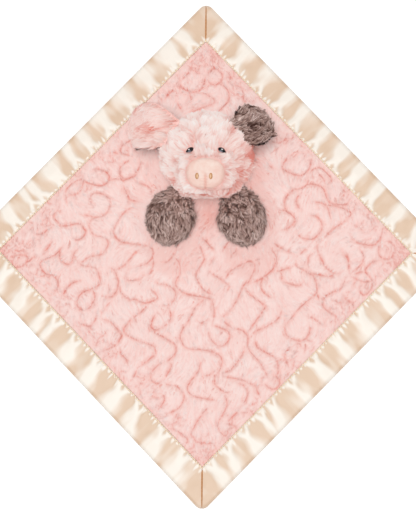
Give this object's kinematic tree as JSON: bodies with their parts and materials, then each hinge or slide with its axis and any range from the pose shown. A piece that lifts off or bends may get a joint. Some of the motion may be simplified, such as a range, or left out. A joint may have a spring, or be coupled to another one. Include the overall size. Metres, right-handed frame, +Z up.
{
  "type": "comfort blanket",
  "caption": "Square plush comfort blanket with a pleated satin binding and a small stuffed pig's head and arms sewn on above its middle, for a small child to hold.",
  "frame": {"origin": "under the middle of the blanket, on the surface it lies on", "axes": "+Z up from the surface, +Y towards the blanket's corner above the head, +X towards its right corner"},
  "size_m": [0.4522, 0.4672, 0.0749],
  "materials": {
    "pink_plush": "deep embossed pile",
    "back_lining": "smooth knit",
    "cream_satin": "satin sheen, pleated",
    "face_plush": "long combed pile",
    "snout_velour": "short velour",
    "taupe_plush": "clumped curly pile",
    "stuffing": "loose fibre",
    "eye_thread": "satin stitch",
    "nostril_thread": "satin stitch"
  },
  "bodies": {
    "blanket": {"front_plush_panel": "pink_plush", "back_lining_panel": "back_lining", "binding_upper_right": "cream_satin", "binding_upper_left": "cream_satin", "binding_lower_right": "cream_satin", "binding_lower_left": "cream_satin"},
    "head": {"head_right_panel": "face_plush", "head_left_panel": "face_plush", "head_back_panel": "face_plush", "snout_panel": "snout_velour", "head_stuffing": "stuffing", "eye_left": "eye_thread", "eye_right": "eye_thread", "nostril_left": "nostril_thread", "nostril_right": "nostril_thread", "neck_tube": "face_plush"},
    "ear_left": {"ear_left_front": "face_plush", "ear_left_back": "face_plush"},
    "ear_right": {"ear_right_front": "taupe_plush", "ear_right_back": "taupe_plush"},
    "arm_left": {"arm_left_cover": "taupe_plush", "arm_left_stuffing": "stuffing"},
    "arm_right": {"arm_right_cover": "taupe_plush", "arm_right_stuffing": "stuffing"}
  },
  "joints": [
    {"name": "neck_seam", "type": "hinge", "parent": "blanket", "child": "head", "pos_m": [0.0025, 0.056, 0.007], "axis": [1, 0, 0], "range_deg": [0, 30]},
    {"name": "left_ear_seam", "type": "hinge", "parent": "head", "child": "ear_left", "pos_m": [-0.0281, 0.1041, 0.0483], "axis": [0.454, 0.891, 0], "range_deg": [0, 70]},
    {"name": "right_ear_seam", "type": "hinge", "parent": "head", "child": "ear_right", "pos_m": [0.0301, 0.1043, 0.0513], "axis": [0.454, -0.891, 0], "range_deg": [0, 70]},
    {"name": "left_shoulder_seam", "type": "hinge", "parent": "blanket", "child": "arm_left", "pos_m": [-0.017, 0.061, 0.007], "axis": [0, 0.25, -0.9682], "range_deg": [0, 45]},
    {"name": "right_shoulder_seam", "type": "hinge", "parent": "blanket", "child": "arm_right", "pos_m": [0.021, 0.06, 0.007], "axis": [0, -0.25, 0.9682], "range_deg": [0, 45]}
  ]
}
